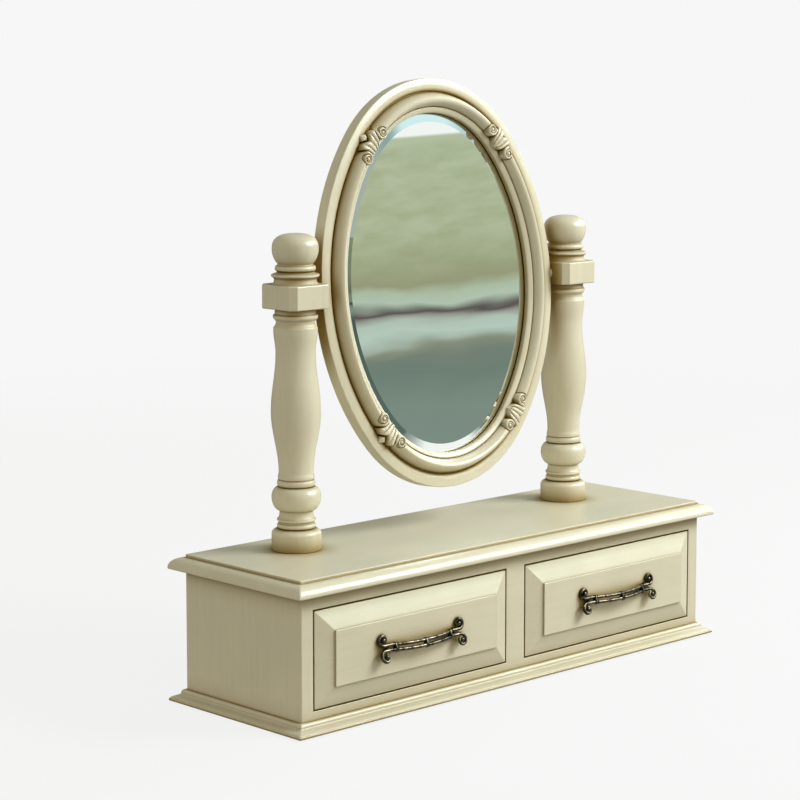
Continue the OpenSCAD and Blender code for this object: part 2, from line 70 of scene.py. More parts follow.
SIDE_LO, SIDE_HI = corners("side_right")
BASE_LO, BASE_HI = corners("base_board")
TOP_LO, TOP_HI = corners("top_board")
RAIL_LO, RAIL_HI = corners("top_rail")
LOW_RAIL_HI = corners("bottom_rail")[1]
MUNTIN_HI = corners("muntin")[1]
POST_LO, POST_HI = corners("post_right")

CASE_W = 2 * SIDE_HI[0]
CASE_D = SIDE_HI[1] - SIDE_LO[1]
CASE_Z, TOP_Z = SIDE_LO[2], SIDE_HI[2]
TOP_FACE_Z = TOP_HI[2]
OVERHANG = BASE_HI[0] - SIDE_HI[0]
BASE_T = BASE_HI[2] - BASE_LO[2]
TOP_T = TOP_HI[2] - TOP_LO[2]
FRONT_Y = SIDE_LO[1]
INNER_X = SIDE_LO[0]
OPEN_Z, OPEN_TOP = LOW_RAIL_HI[2], RAIL_LO[2]

PIVOT_Z = 426.5
PIVOT = np.array([0, (POST_LO[1] + POST_HI[1]) / 2, PIVOT_Z])
MIRROR_LEAN = math.radians(5)

# ---------- curves ----------


def sweep(r0, z0, r1, z1, n=24):
    """Points of a smooth step from one radius and height to another, without the first."""
    t = np.arange(1, n + 1) / n
    return [(r0 + (r1 - r0) * (1 - math.cos(math.pi * i)) / 2, z0 + (z1 - z0) * i) for i in t]


def bead(r0, z0, r1, z1, r_max, n=24):
    """Points of a rounded bead between two heights, standing out to r_max."""
    out = []
    for i in range(1, n + 1):
        a = math.pi * i / n
        base = r0 + (r1 - r0) * i / n
        out.append((base + (r_max - max(r0, r1)) * math.sin(a),
                    (z0 + z1) / 2 - (z1 - z0) / 2 * math.cos(a)))
    return out


def quarter(x0, y0, x1, y1, level_first, n=8):
    """Points of a quarter ellipse from one corner to the other."""
    out = []
    for i in range(1, n + 1):
        a = math.pi / 2 * i / n
        if level_first:
            out.append((x0 + (x1 - x0) * math.sin(a), y0 + (y1 - y0) * (1 - math.cos(a))))
        else:
            out.append((x0 + (x1 - x0) * (1 - math.cos(a)), y0 + (y1 - y0) * math.sin(a)))
    return out


def smoothstep(x):
    x = np.clip(x, 0, 1)
    return x * x * (3 - 2 * x)


# ---------- meshes ----------

def loft(rings, close_path=False):
    """Points and faces of a skin over closed rings of equal length, capped at both ends."""
    rings = [np.asarray(r, float) for r in rings]
    n = len(rings[0])
    points = np.concatenate(rings)
    faces = []
    count = len(rings)
    for i in range(count if close_path else count - 1):
        a, b = i * n, (i + 1) % count * n
        for j in range(n):
            k = (j + 1) % n
            faces.append((a + j, a + k, b + k, b + j))
    if not close_path:
        faces.append(tuple(range(n))[::-1])
        faces.append(tuple(range((count - 1) * n, count * n)))
    return points, faces


def joined(*shells):
    """One set of points and faces from several."""
    points, faces, start = [], [], 0
    for p, f in shells:
        points.append(np.asarray(p, float))
        faces += [tuple(start + i for i in face) for face in f]
        start += len(p)
    return np.concatenate(points), faces


def piece(name, shape, material, body, nodes=(), sharp=22, weighted=True):
    """Makes one visible piece, in place of the CAD nodes named."""
    points, faces = shape
    mesh = bpy.data.meshes.new(name)
    mesh.from_pydata((np.asarray(points) * MM).tolist(), [], [list(f) for f in faces])
    work = bmesh.new()
    work.from_mesh(mesh)
    bmesh.ops.recalc_face_normals(work, faces=work.faces)
    work.to_mesh(mesh)
    work.free()
    mesh.materials.append(material)
    mesh.shade_smooth()
    mesh.set_sharp_from_angle(angle=math.radians(sharp))
    obj = bpy.data.objects.new(name, mesh)
    scene.collection.objects.link(obj)
    if weighted:
        normals = obj.modifiers.new("even_shading", "WEIGHTED_NORMAL")
        normals.keep_sharp = True
    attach(obj, body)
    if nodes:
        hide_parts(*nodes)
    return obj


def rounded_rect(half_w, half_d, r, k=5):
    """A rectangle with rounded corners, as (x, y) points."""
    out = []
    for cx, cy, start in ((1, 1, 0), (-1, 1, 90), (-1, -1, 180), (1, -1, 270)):
        for i in range(k + 1):
            a = math.radians(start + 90 * i / k)
            out.append((cx * (half_w - r) + r * math.cos(a), cy * (half_d - r) + r * math.sin(a)))
    return np.array(out)


def ring_at(flat, z):
    """A level ring of (x, y) points at height z."""
    return np.column_stack([flat, np.full(len(flat), z)])


# ---------- node materials ----------

def start_material(name):
    mat = bpy.data.materials.new(name)
    mat.use_nodes = True
    tree = mat.node_tree
    tree.nodes.clear()
    shader = tree.nodes.new("ShaderNodeBsdfPrincipled")
    out = tree.nodes.new("ShaderNodeOutputMaterial")
    tree.links.new(shader.outputs[0], out.inputs[0])
    return mat, tree, shader


def node(tree, kind, inputs=None, **settings):
    """Adds a node, sets it up and wires or fills its inputs."""
    new = tree.nodes.new(kind)
    for key, value in settings.items():
        setattr(new, key, value)
    for key, value in (inputs or {}).items():
        if isinstance(value, bpy.types.NodeSocket):
            tree.links.new(value, new.inputs[key])
        else:
            new.inputs[key].default_value = value
    return new


def maths(tree, operation, a, b=0.0, c=0.0, clamp=False):
    return node(tree, "ShaderNodeMath", {0: a, 1: b, 2: c}, operation=operation,
                use_clamp=clamp).outputs[0]


def blend_colour(tree, factor, a, b, mode="MIX"):
    """Colour a turning to b as factor goes from 0 to 1."""
    return node(tree, "ShaderNodeMix", {0: factor, 6: a, 7: b}, data_type="RGBA",
                blend_type=mode).outputs[2]


def ramp(tree, factor, stops, interpolation="LINEAR"):
    """A colour ramp of (position, colour) stops."""
    new = node(tree, "ShaderNodeValToRGB", {0: factor})
    band = new.color_ramp
    band.interpolation = interpolation
    while len(band.elements) < len(stops):
        band.elements.new(0.5)
    for element, (at, colour) in zip(band.elements, stops):
        element.position = at
        element.color = colour
    return new.outputs[0]


def rgb(r, g, b):
    """A linear colour from its screen values, 0 to 255."""
    linear = [((c / 255 + 0.055) / 1.055) ** 2.4 if c > 10.3 else c / 255 / 12.92
              for c in (r, g, b)]
    return (*linear, 1.0)


def stretched(tree, along, across, axis):
    """Object coordinates scaled so that a texture runs along one axis."""
    coordinates = node(tree, "ShaderNodeTexCoord").outputs["Object"]
    scale = [across] * 3
    scale["xyz".index(axis)] = along
    return node(tree, "ShaderNodeMapping", {0: coordinates, 3: tuple(scale)}).outputs[0]


def noise(tree, vector, scale, detail=4.0, rough=0.55, distort=0.0):
    return node(tree, "ShaderNodeTexNoise", {
        "Vector": vector, "Scale": scale, "Detail": detail, "Roughness": rough,
        "Distortion": distort}).outputs["Fac"]


def fitted(tree, value, a, b, c, d):
    """value mapped from the range a to b onto c to d, and held there."""
    return node(tree, "ShaderNodeMapRange", {0: value, 1: a, 2: b, 3: c, 4: d}).outputs[0]


def crease(tree, distance, power, samples=8):
    """0 on open surfaces, rising to 1 in creases narrower than distance, in metres."""
    open_share = node(tree, "ShaderNodeAmbientOcclusion", {"Distance": distance},
                      samples=samples).outputs["AO"]
    return maths(tree, "POWER", maths(tree, "SUBTRACT", 1.0, open_share, clamp=True), power)


def paint(name, axis):
    """Satin ivory paint over wood, with faint grain along one axis. Its colour carries painted
    shade: olive in the hollows and nearly black in narrow joints."""
    mat, tree, shader = start_material(name)
    grain = noise(tree, stretched(tree, 9, 260, axis), 1.0, 5, 0.6, 0.3)
    cloud = noise(tree, node(tree, "ShaderNodeTexCoord").outputs["Object"], 14, 3)
    brush = noise(tree, stretched(tree, 40, 900, axis), 1.0, 3, 0.5)
    colour = blend_colour(tree, fitted(tree, cloud, 0.35, 0.65, 0, 1),
                          rgb(208, 203, 176), rgb(214, 208, 182))
    colour = blend_colour(tree, fitted(tree, grain, 0.45, 0.75, 0, 0.20), colour,
                          rgb(186, 178, 146))
    # Painted shade: the colour turns olive in hollows, where shade falls, and nearly black in
    # narrow joints and gaps.
    hollow = fitted(tree, crease(tree, 0.026, 1.0, 10), 0.05, 0.50, 0, 1)
    colour = blend_colour(tree, maths(tree, "MULTIPLY", hollow, 0.97), colour,
                          rgb(134, 106, 8))
    # Painted shade, nearly black, in the narrow gaps between parts.
    joint_shade = fitted(tree, crease(tree, 0.003, 1.0, 10), 0.42, 0.80, 0, 1)
    colour = blend_colour(tree, maths(tree, "MULTIPLY", joint_shade, 0.92), colour, rgb(40, 28, 3))
    tree.links.new(colour, shader.inputs["Base Color"])
    dull = maths(tree, "MULTIPLY_ADD", hollow, 0.45, fitted(tree, cloud, 0.3, 0.7, 0.28, 0.36))
    tree.links.new(dull, shader.inputs["Roughness"])
    relief = maths(tree, "ADD", maths(tree, "MULTIPLY", grain, 0.7),
                   maths(tree, "MULTIPLY", brush, 0.3))
    bump = node(tree, "ShaderNodeBump", {"Strength": 0.08, "Distance": 0.0004, "Height": relief})
    tree.links.new(bump.outputs[0], shader.inputs["Normal"])
    return mat


def bare_wood(name, axis, light, dark):
    """Sealed softwood with its grain along one axis, and painted brown shade in its creases."""
    mat, tree, shader = start_material(name)
    along = stretched(tree, 5, 70, axis)
    warp = noise(tree, along, 1.0, 3, 0.5, 1.2)
    rings = maths(tree, "FRACT", maths(tree, "MULTIPLY", warp, 7.0))
    fibre = noise(tree, stretched(tree, 30, 1500, axis), 1.0, 4, 0.6)
    colour = ramp(tree, rings, [(0.0, light), (0.72, light), (0.93, dark), (1.0, light)])
    colour = blend_colour(tree, fitted(tree, fibre, 0.4, 0.8, 0, 0.35), colour, dark)
    # Painted shade: the wood turns darker brown in creases, where shade falls.
    colour = blend_colour(tree, maths(tree, "MULTIPLY", crease(tree, 0.02, 1.5), 0.5), colour,
                          rgb(70, 45, 20))
    tree.links.new(colour, shader.inputs["Base Color"])
    tree.links.new(fitted(tree, fibre, 0.3, 0.7, 0.5, 0.68), shader.inputs["Roughness"])
    bump = node(tree, "ShaderNodeBump", {"Strength": 0.3, "Distance": 0.0003, "Height": fibre})
    tree.links.new(bump.outputs[0], shader.inputs["Normal"])
    return mat


def metal(name, base, worn, rough, speck, hammered=0.0):
    """Metal with fine scratches; hammered metal is dark in its hollows and bright on top."""
    mat, tree, shader = start_material(name)
    spot = node(tree, "ShaderNodeTexCoord").outputs["Object"]
    mottle = noise(tree, spot, speck, 4, 0.6)
    factor = fitted(tree, mottle, 0.38, 0.68, 0, 0.8)
    relief = mottle
    if hammered:
        dents = node(tree, "ShaderNodeTexVoronoi", {"Vector": spot, "Scale": 420.0},
                     feature="SMOOTH_F1").outputs["Distance"]
        shade = crease(tree, 0.005, 0.8)
        factor = maths(tree, "MULTIPLY", factor, maths(tree, "SUBTRACT", 1.0, shade, clamp=True))
        relief = maths(tree, "ADD", maths(tree, "MULTIPLY", mottle, 0.4), dents)
    tree.links.new(blend_colour(tree, factor, base, worn), shader.inputs["Base Color"])
    tree.links.new(fitted(tree, mottle, 0.3, 0.7, rough - 0.06, rough + 0.08),
                   shader.inputs["Roughness"])
    bump = node(tree, "ShaderNodeBump", {"Strength": 0.15 + hammered, "Distance": 0.0004,
                                         "Height": relief})
    tree.links.new(bump.outputs[0], shader.inputs["Normal"])
    shader.inputs["Metallic"].default_value = 1.0
    return mat


def plain_fibre(name, base, other, rough, scale, strength):
    """Felt and plastic: a fine mottled colour with a matching bump."""
    mat, tree, shader = start_material(name)
    fuzz = noise(tree, node(tree, "ShaderNodeTexCoord").outputs["Object"], scale, 5, 0.7)
    tree.links.new(blend_colour(tree, fuzz, base, other), shader.inputs["Base Color"])
    tree.links.new(fitted(tree, fuzz, 0.3, 0.7, rough - 0.08, rough + 0.04),
                   shader.inputs["Roughness"])
    bump = node(tree, "ShaderNodeBump", {"Strength": strength, "Distance": 0.0004,
                                         "Height": fuzz})
    tree.links.new(bump.outputs[0], shader.inputs["Normal"])
    return mat


def silvered(name):
    """Silvered glass with the faintest haze, and a tint that varies a little."""
    mat, tree, shader = start_material(name)
    spot = node(tree, "ShaderNodeTexCoord").outputs["Object"]
    haze = noise(tree, spot, 9, 3)
    tree.links.new(fitted(tree, haze, 0.3, 0.8, 0.0, 0.0035), shader.inputs["Roughness"])
    tint = blend_colour(tree, fitted(tree, haze, 0.3, 0.7, 0, 1), (0.87, 0.91, 0.885, 1),
                        (0.90, 0.93, 0.91, 1))
    tree.links.new(tint, shader.inputs["Base Color"])
    shader.inputs["Metallic"].default_value = 1.0
    return mat


PAINT_X = paint("ivory_paint_x", "x")
PAINT_Z = paint("ivory_paint_z", "z")
PINE = (rgb(222, 196, 152), rgb(186, 146, 94))
WOOD = {axis: bare_wood("bare_wood_" + axis, axis, *PINE) for axis in "xyz"}
BOARD = bare_wood("board_brown", "z", rgb(176, 140, 98), rgb(140, 104, 66))
BRONZE = metal("aged_bronze", rgb(34, 27, 19), rgb(128, 112, 92), 0.24, 190, 0.08)
STEEL = metal("zinc_steel", rgb(150, 152, 156), rgb(196, 198, 200), 0.34, 700)
BRASS = metal("plain_brass", rgb(168, 132, 66), rgb(214, 182, 110), 0.3, 500)
NYLON = plain_fibre("nylon", rgb(228, 225, 214), rgb(238, 236, 228), 0.45, 900, 0.1)
FELT = plain_fibre("felt", rgb(52, 48, 44), rgb(84, 80, 74), 0.95, 1600, 0.8)
GLASS = silvered("mirror_silver")


# ---------- case ----------

def moulded_board(profile, z):
    """A board with the same edge all round: profile is (distance out from the case, height)."""
    rings = []
    for out, height in profile:
        corner = 1.0 + 0.07 * max(out, 0)
        flat = rounded_rect(CASE_W / 2 + out, CASE_D / 2 + out, corner)
        rings.append(ring_at(flat, z + height))
    return loft(rings)


def base_board():
    """The base, with a thin lip, a hollow and a rounded shoulder under the case."""
    lip_z = 1.7
    hollow_out, hollow_z = OVERHANG - 1.1, 2.7
    shoulder_out, shoulder_z = 4.6, BASE_T - 4.2
    edge = [(OVERHANG - 0.5, 0), (OVERHANG - 0.1, 0.2), (OVERHANG, 0.6), (OVERHANG, lip_z)]
    edge += quarter(OVERHANG, lip_z, hollow_out, hollow_z, False, 6)
    edge += sweep(hollow_out, hollow_z, shoulder_out, shoulder_z, 18)
    edge += quarter(shoulder_out, shoulder_z, 1.2, BASE_T, False, 12)
    piece("base_board_moulded", moulded_board(edge, BASE_LO[2]), PAINT_X, "case",
          ["base_board"])


def top_board():
    """The top, with a large rounded edge under a small square step."""
    step = 3.2
    ease = 0.8
    under_out, nose_z = OVERHANG - 1.5, 1.6
    edge = [(under_out, 0)]
    edge += quarter(under_out, 0, OVERHANG, nose_z, True, 6)
    edge += quarter(OVERHANG, nose_z, 0.3, TOP_T - step, False, 26)
    edge += [(0, TOP_T - step), (0, TOP_T - ease)]
    edge += quarter(0, TOP_T - ease, -ease, TOP_T, False, 5)
    piece("top_board_moulded", moulded_board(edge, TOP_LO[2]), PAINT_X, "case",
          ["top_board"])


def side_board(s):
    """A side board. Its inner front edge is eased only beside the drawer opening."""
    outer = 1.5
    ease = 0.8
    short = 0.04
    k = 5
    mid_x, half = (SIDE_LO[0] + SIDE_HI[0]) / 2, (SIDE_HI[0] - SIDE_LO[0]) / 2
    heights = [(CASE_Z, short), (OPEN_Z, short), (OPEN_Z + ease, ease),
               (OPEN_TOP - ease, ease), (OPEN_TOP, short), (TOP_Z, short)]
    rings = []
    for z, inner in heights:
        ring = []
        for cx, cy, r, start in ((1, 1, outer, 0), (-1, 1, short, 90), (-1, -1, inner, 180),
                                 (1, -1, outer, 270)):
            for i in range(k + 1):
                a = math.radians(start + 90 * i / k)
                ring.append((s * (mid_x + cx * (half - r) + r * math.cos(a)),
                             cy * (CASE_D / 2 - r) + r * math.sin(a), z))
        rings.append(ring)
    name = "side_right" if s > 0 else "side_left"
    piece(name + "_board", loft(rings), PAINT_Z, "case", [name])


def face_frame():
    """Rails and muntin in one, with eased edges round the openings, as they are painted over."""
    x = INNER_X
    ease = 0.8
    steps = [(RAIL_HI[1], 0.0)]
    for a in np.linspace(0, math.pi / 2, 6):
        steps.append((FRONT_Y + ease * (1 - math.sin(a)), ease * (1 - math.cos(a))))
    rings = []
    for y, cut in steps:
        low, high, w = OPEN_Z - cut, OPEN_TOP + cut, MUNTIN_HI[0] - cut
        ring = [(-x, CASE_Z), (x, CASE_Z), (x, low), (w, low), (w, high), (x, high), (x, TOP_Z),
                (-x, TOP_Z), (-x, high), (-w, high), (-w, low), (-x, low)]
        rings.append([(px, y, pz) for px, pz in ring])
    piece("face_frame", loft(rings), PAINT_X, "case",
          ["top_rail", "bottom_rail", "muntin"])


# ---------- posts: profiles are (radius, height above the top board) ----------

FOOT_R = 26.3
BALL_R, BALL_Z, BALL_UP, BALL_DOWN, BALL_POWER = 24.5, 318, 16.4, 24, 0.77
LOWER_POST = (
    [(FOOT_R - 0.8, 0), (FOOT_R - 0.2, 0.3), (FOOT_R, 0.9), (FOOT_R, 17.4)]
    + quarter(FOOT_R, 17.4, 19.4, 22.8, False, 16) + [(18.6, 23.2)]
    + bead(18.6, 23.2, 18.8, 28.6, 20.6, 18) + [(18.6, 29.4)]
    + sweep(18.8, 29.8, 20.5, 31.8, 8) + [(20.5, 33.0)]
    + quarter(20.5, 33.4, 17.9, 40.2, True, 14) + [(17.9, 42.3)]
    + quarter(17.9, 42.3, 26.2, 56.8, True, 24)
    + quarter(26.2, 56.8, 18.8, 67.4, False, 24) + [(18.6, 67.7)]
    + bead(18.8, 67.9, 18.8, 74.6, 20.3, 18) + [(18.5, 75)]
    + sweep(18.6, 75.2, 19.4, 76.2, 6) + [(19.4, 77.4)]
    + sweep(19.4, 77.6, 18.5, 82.7, 10)
    + sweep(18.5, 82.7, 26.4, 146.9, 40)
    + sweep(26.4, 146.9, 21.1, 209, 40)
    + sweep(21.1, 209, 23.3, 233, 20) + [(23.3, 235)]
    + sweep(23.3, 235.2, 20.9, 239.8, 12) + [(20.5, 240.2), (20.5, 241)]
    + sweep(20.6, 241.6, 23.7, 246.9, 14) + [(23.7, 247.8)]
    + quarter(23.7, 247.8, 21.8, 249.8, False, 8) + [(21.8, 256)])
UPPER_POST = (
    [(26.4, 280.6), (26.4, 281.2)] + quarter(26.4, 281.2, 22.3, 285.6, True, 14)
    + [(22.2, 286.4)] + sweep(22.6, 286.8, 25.3, 290, 12) + [(25.3, 291)]
    + sweep(25.3, 291, 19.4, 294, 14) + [(18.7, 294.3)]
    + bead(18.8, 294.6, 18.9, 301, 21.6, 18) + [(18.6, 301.8)]
    + [(BALL_R * math.cos(math.radians(a)), BALL_Z + BALL_DOWN * math.sin(math.radians(a)))
       for a in np.linspace(-40, 0, 20)]
    + [(BALL_R * math.cos(math.radians(a)) ** BALL_POWER,
        BALL_Z + BALL_UP * math.sin(math.radians(a)) ** BALL_POWER)
       for a in np.linspace(2, 89, 44)])
BLOCK_HALF_W, BLOCK_HALF_H, BLOCK_CUT, BLOCK_ROUND = 27.7, 12.85, 4.6, 1.6


def turned(profile, cx, cy, z, n=112):
    """A turned solid from (radius, height) points."""
    turn = np.linspace(0, 2 * math.pi, n, endpoint=False)
    circle = np.column_stack([np.cos(turn), np.sin(turn)])
    return loft([ring_at(circle * r + (cx, cy), z + h) for r, h in profile])


def octagon(inset, round_r, k=4):
    """A square with cut corners, drawn in by inset, its eight corners rounded."""
    a = BLOCK_HALF_W - inset
    c = 2 * BLOCK_HALF_W - math.sqrt(2) * BLOCK_CUT - math.sqrt(2) * inset
    ends = [(a, c - a), (c - a, a), (a - c, a), (-a, c - a), (-a, a - c), (a - c, -a),
            (c - a, -a), (a, a - c)]
    out = []
    for i, (x, y) in enumerate(ends):
        here = Vector((x, y))
        before = (Vector(ends[i - 1]) - here).normalized()
        after = (Vector(ends[(i + 1) % 8]) - here).normalized()
        half = before.angle(after) / 2
        to_centre = (before + after).normalized() * (round_r / math.sin(half))
        start = here + before * (round_r / math.tan(half)) - (here + to_centre)
        turn = math.pi - 2 * half
        for j in range(k + 1):
            t = turn * j / k
            spun = Matrix.Rotation(t, 2) @ start
            out.append(tuple(here + to_centre + spun))
    return np.array(out)


def pivot_block(cx, cy):
    """The square block on a post, with cut upright corners and eased edges."""
    k = 6
    rings = []
    for i in range(k + 1):
        a = math.radians(90 * i / k)
        inset = BLOCK_ROUND * (1 - math.sin(a))
        rings.append(ring_at(octagon(inset, 0.9) + (cx, cy),
                             PIVOT[2] - BLOCK_HALF_H + BLOCK_ROUND * (1 - math.cos(a))))
    for ring in rings[::-1]:
        upper = ring.copy()
        upper[:, 2] = 2 * PIVOT[2] - upper[:, 2]
        rings.append(upper)
    return loft(rings)


def post(s):
    """A post, turned below and above its square block."""
    x = s * (POST_LO[0] + POST_HI[0]) / 2
    shape = joined(turned(LOWER_POST, x, PIVOT[1], TOP_FACE_Z), pivot_block(x, PIVOT[1]),
                   turned(UPPER_POST, x, PIVOT[1], TOP_FACE_Z))
    name = "post_right" if s > 0 else "post_left"
    piece(name + "_turned", shape, PAINT_Z, "case", [name], sharp=30)


# ---------- mirror: flat coordinates x right, y up, z forward from the rim's middle ----------

# The oval is four arcs. It has a half width, a half height and the radius of its end arcs.
OVAL_A, OVAL_B, END_R = 177.4, 225.4, 150.5
SIDE_R = (OVAL_A ** 2 + OVAL_B ** 2 - 2 * OVAL_B * END_R) / (2 * (OVAL_A - END_R))
SIDE_CENTRE = SIDE_R - OVAL_A
END_CENTRE = OVAL_B - END_R
ARC_HALF = math.atan2(END_CENTRE, SIDE_CENTRE)
RIM_FRONT = 7.25
# Distances in from the rim: runs are measured along the bead line.
BEAD_LINE = 24
BEAD_IN, BEAD_OUT = 15.4, 31.2
ARRIS_IN = 23.5
REBATE_IN = 30
BAND_W = 38
# Heights above the rim's front face.
BEAD_FOOT, LIP_FOOT = -3, 1
CREST = 10
GLASS_SET_BACK, GLASS_T = 6.2, 4
GLASS_FRONT = RIM_FRONT - GLASS_SET_BACK
GLASS_BACK = GLASS_FRONT - GLASS_T
SIDE_RUN = 2 * ARC_HALF * (SIDE_R - BEAD_LINE)
END_RUN = (math.pi - 2 * ARC_HALF) * (END_R - BEAD_LINE)


def leaned(points):
    """Flat mirror coordinates turned into the CAD's frame."""
    p = np.asarray(points, float)
    sine, cosine = math.sin(MIRROR_LEAN), math.cos(MIRROR_LEAN)
    out = np.empty_like(p)
    out[:, 0] = p[:, 0]
    out[:, 1] = p[:, 1] * sine - p[:, 2] * cosine
    out[:, 2] = p[:, 1] * cosine + p[:, 2] * sine
    return out + PIVOT


def oval_place(run):
    """Centre, radius and angle of the oval at a run along the bead line from the right."""
    run = run % (2 * (SIDE_RUN + END_RUN))
    if run < SIDE_RUN / 2:
        return -SIDE_CENTRE, 0.0, SIDE_R, run / (SIDE_R - BEAD_LINE)
    run -= SIDE_RUN / 2
    if run < END_RUN:
        return 0.0, END_CENTRE, END_R, ARC_HALF + run / (END_R - BEAD_LINE)
    run -= END_RUN
    if run < SIDE_RUN:
        return SIDE_CENTRE, 0.0, SIDE_R, math.pi - ARC_HALF + run / (SIDE_R - BEAD_LINE)
    run -= SIDE_RUN
    if run < END_RUN:
        return 0.0, -END_CENTRE, END_R, math.pi + ARC_HALF + run / (END_R - BEAD_LINE)
    run -= END_RUN
    return -SIDE_CENTRE, 0.0, SIDE_R, -ARC_HALF + run / (SIDE_R - BEAD_LINE)


def oval_point(run, inset, height):
    cx, cy, r, angle = oval_place(run)
    return (cx + (r - inset) * math.cos(angle), cy + (r - inset) * math.sin(angle), height)


def bead_height(inset):
    """Height of the raised bead, with the fine ridge along it, at a distance in from the rim."""
    t = np.clip((np.asarray(inset, float) - BEAD_IN) / (BEAD_OUT - BEAD_IN), 0, 1)
    arris = 0.25 * np.exp(-((np.asarray(inset) - ARRIS_IN) / 0.4) ** 2)
    foot = BEAD_FOOT + (LIP_FOOT - BEAD_FOOT) * t
    return foot + (CREST - (LIP_FOOT + BEAD_FOOT) / 2) * np.sin(math.pi * t) ** 0.8 + arris


def frame_section():
    """The frame's section as (distance in, height above the rim's front), in three runs:
    outside the bead, the bead, and inside it."""
    outer = [(0.7, -2 * RIM_FRONT), (0.15, -2 * RIM_FRONT + 0.2), (0, -2 * RIM_FRONT + 0.8),
             (0, -1.3)]
    outer += quarter(0, -1.3, 1.3, 0, False, 6)
    outer += [(3.5, 0.35), (6, 0.75), (8, 0.9), (9, 0.75)]
    outer += quarter(9, 0.75, 14.4, BEAD_FOOT, True, 10) + [(15.1, BEAD_FOOT)]
    insets = BEAD_IN + (BEAD_OUT - BEAD_IN) * (1 - np.cos(np.linspace(0, math.pi, 31))) / 2
    middle = [(float(i), float(bead_height(i))) for i in insets]
    inner = [(31.45, 0.95), (31.7, 1.3), (32.1, 1.55), (32.6, 1.65), (33.4, 1.5), (34.4, 1.15),
             (35.4, 0.7), (36.4, 0.1), (37.2, -0.5), (37.7, -0.95), (BAND_W, -1.5)]
    inner += [(BAND_W, GLASS_FRONT - RIM_FRONT), (REBATE_IN, GLASS_FRONT - RIM_FRONT),
              (REBATE_IN, -2 * RIM_FRONT)]
    return outer, middle, inner


# Each ornament takes over the bead for this far each way from its middle.
SEAT_HALF = 27
ORNAMENT_RUN = SIDE_RUN / 2 - 1.2
ORNAMENT_LINE = 26.6


def mirror_frame():
    """The moulded ring. Its bead is left out where the carved ornaments take it over."""
    outer, middle, inner = frame_section()
    half_loop = SIDE_RUN + END_RUN
    seats = [ORNAMENT_RUN, half_loop - ORNAMENT_RUN, half_loop + ORNAMENT_RUN,
             2 * half_loop - ORNAMENT_RUN]
    cuts = [seat + side * (SEAT_HALF - gap) for seat in seats for side in (-1, 1)
            for gap in (0, 0.05)]
    runs = sorted(list(np.arange(0, 2 * half_loop, 2 * half_loop / 340)) + cuts)
    runs = [r for i, r in enumerate(runs) if r in cuts or min(abs(r - c) for c in cuts) > 0.8]
    rings = []
    for run in runs:
        in_seat = min(abs(run - seat) for seat in seats) < SEAT_HALF - 0.02
        ring = []
        for i, (inset, height) in enumerate(outer + middle + inner):
            if in_seat and len(outer) <= i < len(outer) + len(middle):
                t = (inset - BEAD_IN) / (BEAD_OUT - BEAD_IN)
                height = BEAD_FOOT + (LIP_FOOT - BEAD_FOOT) * t
            ring.append(oval_point(run, inset, RIM_FRONT + height))
        rings.append(leaned(ring))
    piece("mirror_frame_moulded", loft(rings, close_path=True), PAINT_Z, "mirror",
          ["mirror_frame"], sharp=32, weighted=False)


# ---------- carved ornaments: x along the bead, y outwards from the ornament's line ----------

VOLUTE_X, VOLUTE_Y = 18.4, 1.25
VOLUTE_R = 9.3
VOLUTE_TURN = 0.553
EYE_R = 2.4
GROOVE = 2.1
NOTHING = -9


def spiral_r(angle):
    """Radius of the volute's groove at an angle in degrees; it starts at 90."""
    return VOLUTE_R * np.exp(-VOLUTE_TURN * (angle - 90) / 360)


def ground(inset):
    """The frame's surface without its bead."""
    outer, inner = frame_section()[::2]
    line = outer[3:] + [(BEAD_IN, BEAD_FOOT), (BEAD_OUT, LIP_FOOT)] + inner[:-3]
    return np.interp(inset, [p[0] for p in line], [p[1] for p in line])


def volute_height(x, y, inset):
    """Height of one volute with the bead that runs into it from larger x."""
    dx, dy = x - VOLUTE_X, y - VOLUTE_Y
    r = np.hypot(dx, dy)
    angle = np.degrees(np.arctan2(dy, dx))
    angle = np.where(angle < 90, angle + 360, angle)
    turns = (90 + np.log(VOLUTE_R / np.maximum(r, 0.05)) * 360 / VOLUTE_TURN - angle) / 360
    band = turns - np.floor(turns)
    depth = GROOVE * np.where(turns < 1, 1.0, 0.75)
    crest = CREST + 0.7
    coil = crest - depth * (1 - np.sin(math.pi * np.clip(band, 0.02, 0.98)) ** 0.55)
    eye = crest + 0.5 - 1.6 * (r / EYE_R) ** 2
    coil = np.where(r < EYE_R, np.maximum(eye, crest - depth), coil)
    inside = turns >= 0
    bead_there = (inset > BEAD_IN) & (inset < BEAD_OUT)
    shelf = np.where(bead_there, bead_height(inset), NOTHING)
    gap_line = np.where(angle >= 270, spiral_r(angle), spiral_r(angle + 360))
    carve = GROOVE * 0.9 * np.exp(-(np.maximum(r - gap_line, 0) / 0.75) ** 2)
    run_in = shelf - carve
    join = smoothstep((angle - 90) / 75)
    first = inside & (turns < 1) & (angle < 165)
    coil = np.where(first, run_in * (1 - join) + coil * join, coil)
    outside_bead = (~inside) & (dx > 0)
    return np.where(inside, coil, np.where(outside_bead, run_in, NOTHING)), inside


